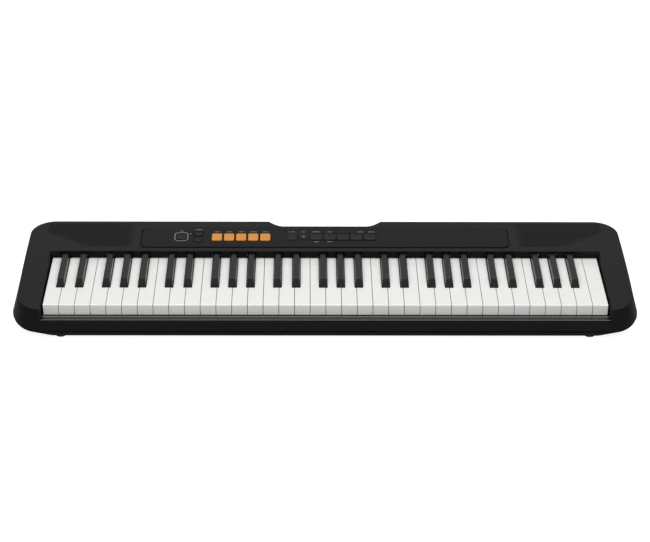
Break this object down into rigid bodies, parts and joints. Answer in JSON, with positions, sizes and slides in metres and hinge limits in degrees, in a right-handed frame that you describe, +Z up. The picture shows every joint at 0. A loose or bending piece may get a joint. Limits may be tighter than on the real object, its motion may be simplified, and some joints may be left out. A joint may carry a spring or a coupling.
{
  "type": "portable keyboard",
  "caption": "Portable electronic keyboard: full-size piano keys hinged in a moulded case with a button panel, oval speakers, back sockets and a carrying grip notch.",
  "frame": {"origin": "on the table top under the middle of the case, at the middle of the feet's plane", "axes": "+X along the keys from bass to treble, +Y from the player to the back, +Z up"},
  "size_m": [0.93, 0.256, 0.0738],
  "materials": {
    "case_plastic": "fine matt moulded texture",
    "panel_plastic": "smooth matt insert",
    "white_key_resin": "glossy moulded top",
    "black_key_resin": "satin moulded",
    "orange_button": "satin cap with bright edge",
    "dark_button": "satin cap",
    "frame_plastic": "plain moulding inside",
    "foot_rubber": "matt",
    "stop_felt": "felt",
    "contact_silicone": "matt silicone",
    "circuit_board": "solder mask over laminate",
    "speaker_paper": "pulp cone and pressed basket",
    "plated_steel": "nickel plate",
    "socket_nylon": "moulded nylon"
  },
  "bodies": {
    "case": {"battery_contact_left": "plated_steel", "battery_contact_right": "plated_steel", "button_board": "circuit_board", "contact_strip": "contact_silicone", "control_panel": "panel_plastic", "dc_inlet": "socket_nylon", "down_stop_felt": "stop_felt", "foot_back_left": "foot_rubber", "foot_back_right": "foot_rubber", "foot_front_left": "foot_rubber", "foot_front_right": "foot_rubber", "headphone_jack": "socket_nylon", "key_contact_board": "circuit_board", "key_frame": "frame_plastic", "lower_case": "case_plastic", "main_board": "circuit_board", "pedal_jack": "socket_nylon", "speaker_left": "speaker_paper", "speaker_right": "speaker_paper", "upper_case": "case_plastic"},
    "battery_door": {"battery_door": "case_plastic"},
    "black_comb_1": {"black_comb_1": "black_key_resin"},
    "black_comb_2": {"black_comb_2": "black_key_resin"},
    "black_comb_4": {"black_comb_4": "black_key_resin"},
    "black_comb_5": {"black_comb_5": "black_key_resin"},
    "black_key_a_sharp4": {"black_key_a_sharp4": "black_key_resin"},
    "black_key_c_sharp4": {"black_key_c_sharp4": "black_key_resin"},
    "black_key_d_sharp4": {"black_key_d_sharp4": "black_key_resin"},
    "black_key_f_sharp4": {"black_key_f_sharp4": "black_key_resin"},
    "black_key_g_sharp4": {"black_key_g_sharp4": "black_key_resin"},
    "function_button_1": {"function_button_1": "dark_button"},
    "function_button_2": {"function_button_2": "dark_button"},
    "function_button_3": {"function_button_3": "dark_button"},
    "function_button_4": {"function_button_4": "dark_button"},
    "function_button_5": {"function_button_5": "dark_button"},
    "mode_button": {"mode_button": "dark_button"},
    "power_button": {"power_button": "dark_button"},
    "round_button": {"round_button": "dark_button"},
    "tone_button_1": {"tone_button_1": "orange_button"},
    "tone_button_2": {"tone_button_2": "orange_button"},
    "tone_button_3": {"tone_button_3": "orange_button"},
    "tone_button_4": {"tone_button_4": "orange_button"},
    "tone_button_5": {"tone_button_5": "orange_button"},
    "volume_down_button": {"volume_down_button": "dark_button"},
    "volume_up_button": {"volume_up_button": "dark_button"},
    "white_comb_cegb_1": {"white_comb_cegb_1": "white_key_resin"},
    "white_comb_cegb_2": {"white_comb_cegb_2": "white_key_resin"},
    "white_comb_cegb_4": {"white_comb_cegb_4": "white_key_resin"},
    "white_comb_cegb_5": {"white_comb_cegb_5": "white_key_resin"},
    "white_comb_dfa_1": {"white_comb_dfa_1": "white_key_resin"},
    "white_comb_dfa_2": {"white_comb_dfa_2": "white_key_resin"},
    "white_comb_dfa_4": {"white_comb_dfa_4": "white_key_resin"},
    "white_comb_dfa_5": {"white_comb_dfa_5": "white_key_resin"},
    "white_key_a4": {"white_key_a4": "white_key_resin"},
    "white_key_b4": {"white_key_b4": "white_key_resin"},
    "white_key_c4": {"white_key_c4": "white_key_resin"},
    "white_key_d4": {"white_key_d4": "white_key_resin"},
    "white_key_e4": {"white_key_e4": "white_key_resin"},
    "white_key_f4": {"white_key_f4": "white_key_resin"},
    "white_key_g4": {"white_key_g4": "white_key_resin"}
  },
  "joints": [
    {"name": "battery_door_release", "type": "slide", "parent": "case", "child": "battery_door", "axis": [0, 0, -1], "range_m": [0, 0.03]},
    {"name": "black_comb_1_hinge", "type": "hinge", "parent": "case", "child": "black_comb_1", "pos_m": [-0.34075, 0.061, 0.0502], "axis": [1, 0, 0], "range_deg": [0, 4], "stiffness_Nm_per_rad": 4, "springref_deg": -4.58},
    {"name": "black_comb_2_hinge", "type": "hinge", "parent": "case", "child": "black_comb_2", "pos_m": [-0.17625, 0.061, 0.0502], "axis": [1, 0, 0], "range_deg": [0, 4], "stiffness_Nm_per_rad": 4, "springref_deg": -4.58},
    {"name": "black_comb_4_hinge", "type": "hinge", "parent": "case", "child": "black_comb_4", "pos_m": [0.15275, 0.061, 0.0502], "axis": [1, 0, 0], "range_deg": [0, 4], "stiffness_Nm_per_rad": 4, "springref_deg": -4.58},
    {"name": "black_comb_5_hinge", "type": "hinge", "parent": "case", "child": "black_comb_5", "pos_m": [0.31725, 0.061, 0.0502], "axis": [1, 0, 0], "range_deg": [0, 4], "stiffness_Nm_per_rad": 4, "springref_deg": -4.58},
    {"name": "black_key_a_sharp4_hinge", "type": "hinge", "parent": "case", "child": "black_key_a_sharp4", "pos_m": [0.0505, 0.061, 0.0502], "axis": [1, 0, 0], "range_deg": [0, 4], "stiffness_Nm_per_rad": 0.8, "springref_deg": -4.58},
    {"name": "black_key_c_sharp4_hinge", "type": "hinge", "parent": "case", "child": "black_key_c_sharp4", "pos_m": [-0.073, 0.061, 0.0502], "axis": [1, 0, 0], "range_deg": [0, 4], "stiffness_Nm_per_rad": 0.8, "springref_deg": -4.58},
    {"name": "black_key_d_sharp4_hinge", "type": "hinge", "parent": "case", "child": "black_key_d_sharp4", "pos_m": [-0.0446, 0.061, 0.0502], "axis": [1, 0, 0], "range_deg": [0, 4], "stiffness_Nm_per_rad": 0.8, "springref_deg": -4.58},
    {"name": "black_key_f_sharp4_hinge", "type": "hinge", "parent": "case", "child": "black_key_f_sharp4", "pos_m": [-0.0036, 0.061, 0.0502], "axis": [1, 0, 0], "range_deg": [0, 4], "stiffness_Nm_per_rad": 0.8, "springref_deg": -4.58},
    {"name": "black_key_g_sharp4_hinge", "type": "hinge", "parent": "case", "child": "black_key_g_sharp4", "pos_m": [0.0232, 0.061, 0.0502], "axis": [1, 0, 0], "range_deg": [0, 4], "stiffness_Nm_per_rad": 0.8, "springref_deg": -4.58},
    {"name": "function_button_1_press", "type": "slide", "parent": "case", "child": "function_button_1", "axis": [0, 0, -1], "range_m": [0, 0.0015], "stiffness_N_per_m": 300, "springref_m": -0.002},
    {"name": "function_button_2_press", "type": "slide", "parent": "case", "child": "function_button_2", "axis": [0, 0, -1], "range_m": [0, 0.0015], "stiffness_N_per_m": 300, "springref_m": -0.002},
    {"name": "function_button_3_press", "type": "slide", "parent": "case", "child": "function_button_3", "axis": [0, 0, -1], "range_m": [0, 0.0015], "stiffness_N_per_m": 300, "springref_m": -0.002},
    {"name": "function_button_4_press", "type": "slide", "parent": "case", "child": "function_button_4", "axis": [0, 0, -1], "range_m": [0, 0.0015], "stiffness_N_per_m": 300, "springref_m": -0.002},
    {"name": "function_button_5_press", "type": "slide", "parent": "case", "child": "function_button_5", "axis": [0, 0, -1], "range_m": [0, 0.0015], "stiffness_N_per_m": 300, "springref_m": -0.002},
    {"name": "mode_button_press", "type": "slide", "parent": "case", "child": "mode_button", "axis": [0, 0, -1], "range_m": [0, 0.0015], "stiffness_N_per_m": 300, "springref_m": -0.002},
    {"name": "power_button_press", "type": "slide", "parent": "case", "child": "power_button", "axis": [0, 0, -1], "range_m": [0, 0.0015], "stiffness_N_per_m": 300, "springref_m": -0.002},
    {"name": "round_button_press", "type": "slide", "parent": "case", "child": "round_button", "axis": [0, 0, -1], "range_m": [0, 0.0015], "stiffness_N_per_m": 300, "springref_m": -0.002},
    {"name": "tone_button_1_press", "type": "slide", "parent": "case", "child": "tone_button_1", "axis": [0, 0, -1], "range_m": [0, 0.0015], "stiffness_N_per_m": 300, "springref_m": -0.002},
    {"name": "tone_button_2_press", "type": "slide", "parent": "case", "child": "tone_button_2", "axis": [0, 0, -1], "range_m": [0, 0.0015], "stiffness_N_per_m": 300, "springref_m": -0.002},
    {"name": "tone_button_3_press", "type": "slide", "parent": "case", "child": "tone_button_3", "axis": [0, 0, -1], "range_m": [0, 0.0015], "stiffness_N_per_m": 300, "springref_m": -0.002},
    {"name": "tone_button_4_press", "type": "slide", "parent": "case", "child": "tone_button_4", "axis": [0, 0, -1], "range_m": [0, 0.0015], "stiffness_N_per_m": 300, "springref_m": -0.002},
    {"name": "tone_button_5_press", "type": "slide", "parent": "case", "child": "tone_button_5", "axis": [0, 0, -1], "range_m": [0, 0.0015], "stiffness_N_per_m": 300, "springref_m": -0.002},
    {"name": "volume_down_button_press", "type": "slide", "parent": "case", "child": "volume_down_button", "axis": [0, 0, -1], "range_m": [0, 0.0015], "stiffness_N_per_m": 300, "springref_m": -0.002},
    {"name": "volume_up_button_press", "type": "slide", "parent": "case", "child": "volume_up_button", "axis": [0, 0, -1], "range_m": [0, 0.0015], "stiffness_N_per_m": 300, "springref_m": -0.002},
    {"name": "white_comb_cegb_1_hinge", "type": "hinge", "parent": "case", "child": "white_comb_cegb_1", "pos_m": [-0.34075, 0.061, 0.0502], "axis": [1, 0, 0], "range_deg": [0, 3.4], "stiffness_Nm_per_rad": 3.2, "springref_deg": -4.58},
    {"name": "white_comb_cegb_2_hinge", "type": "hinge", "parent": "case", "child": "white_comb_cegb_2", "pos_m": [-0.17625, 0.061, 0.0502], "axis": [1, 0, 0], "range_deg": [0, 3.4], "stiffness_Nm_per_rad": 3.2, "springref_deg": -4.58},
    {"name": "white_comb_cegb_4_hinge", "type": "hinge", "parent": "case", "child": "white_comb_cegb_4", "pos_m": [0.15275, 0.061, 0.0502], "axis": [1, 0, 0], "range_deg": [0, 3.4], "stiffness_Nm_per_rad": 3.2, "springref_deg": -4.58},
    {"name": "white_comb_cegb_5_hinge", "type": "hinge", "parent": "case", "child": "white_comb_cegb_5", "pos_m": [0.329, 0.061, 0.0502], "axis": [1, 0, 0], "range_deg": [0, 3.4], "stiffness_Nm_per_rad": 4, "springref_deg": -4.58},
    {"name": "white_comb_dfa_1_hinge", "type": "hinge", "parent": "case", "child": "white_comb_dfa_1", "pos_m": [-0.34075, 0.061, 0.0502], "axis": [1, 0, 0], "range_deg": [0, 3.4], "stiffness_Nm_per_rad": 2.4, "springref_deg": -4.58},
    {"name": "white_comb_dfa_2_hinge", "type": "hinge", "parent": "case", "child": "white_comb_dfa_2", "pos_m": [-0.17625, 0.061, 0.0502], "axis": [1, 0, 0], "range_deg": [0, 3.4], "stiffness_Nm_per_rad": 2.4, "springref_deg": -4.58},
    {"name": "white_comb_dfa_4_hinge", "type": "hinge", "parent": "case", "child": "white_comb_dfa_4", "pos_m": [0.15275, 0.061, 0.0502], "axis": [1, 0, 0], "range_deg": [0, 3.4], "stiffness_Nm_per_rad": 2.4, "springref_deg": -4.58},
    {"name": "white_comb_dfa_5_hinge", "type": "hinge", "parent": "case", "child": "white_comb_dfa_5", "pos_m": [0.31725, 0.061, 0.0502], "axis": [1, 0, 0], "range_deg": [0, 3.4], "stiffness_Nm_per_rad": 2.4, "springref_deg": -4.58},
    {"name": "white_key_a4_hinge", "type": "hinge", "parent": "case", "child": "white_key_a4", "pos_m": [0.03525, 0.061, 0.0502], "axis": [1, 0, 0], "range_deg": [0, 3.4], "stiffness_Nm_per_rad": 0.8, "springref_deg": -4.58},
    {"name": "white_key_b4_hinge", "type": "hinge", "parent": "case", "child": "white_key_b4", "pos_m": [0.05875, 0.061, 0.0502], "axis": [1, 0, 0], "range_deg": [0, 3.4], "stiffness_Nm_per_rad": 0.8, "springref_deg": -4.58},
    {"name": "white_key_c4_hinge", "type": "hinge", "parent": "case", "child": "white_key_c4", "pos_m": [-0.08225, 0.061, 0.0502], "axis": [1, 0, 0], "range_deg": [0, 3.4], "stiffness_Nm_per_rad": 0.8, "springref_deg": -4.58},
    {"name": "white_key_d4_hinge", "type": "hinge", "parent": "case", "child": "white_key_d4", "pos_m": [-0.05875, 0.061, 0.0502], "axis": [1, 0, 0], "range_deg": [0, 3.4], "stiffness_Nm_per_rad": 0.8, "springref_deg": -4.58},
    {"name": "white_key_e4_hinge", "type": "hinge", "parent": "case", "child": "white_key_e4", "pos_m": [-0.03525, 0.061, 0.0502], "axis": [1, 0, 0], "range_deg": [0, 3.4], "stiffness_Nm_per_rad": 0.8, "springref_deg": -4.58},
    {"name": "white_key_f4_hinge", "type": "hinge", "parent": "case", "child": "white_key_f4", "pos_m": [-0.01175, 0.061, 0.0502], "axis": [1, 0, 0], "range_deg": [0, 3.4], "stiffness_Nm_per_rad": 0.8, "springref_deg": -4.58},
    {"name": "white_key_g4_hinge", "type": "hinge", "parent": "case", "child": "white_key_g4", "pos_m": [0.01175, 0.061, 0.0502], "axis": [1, 0, 0], "range_deg": [0, 3.4], "stiffness_Nm_per_rad": 0.8, "springref_deg": -4.58}
  ]
}
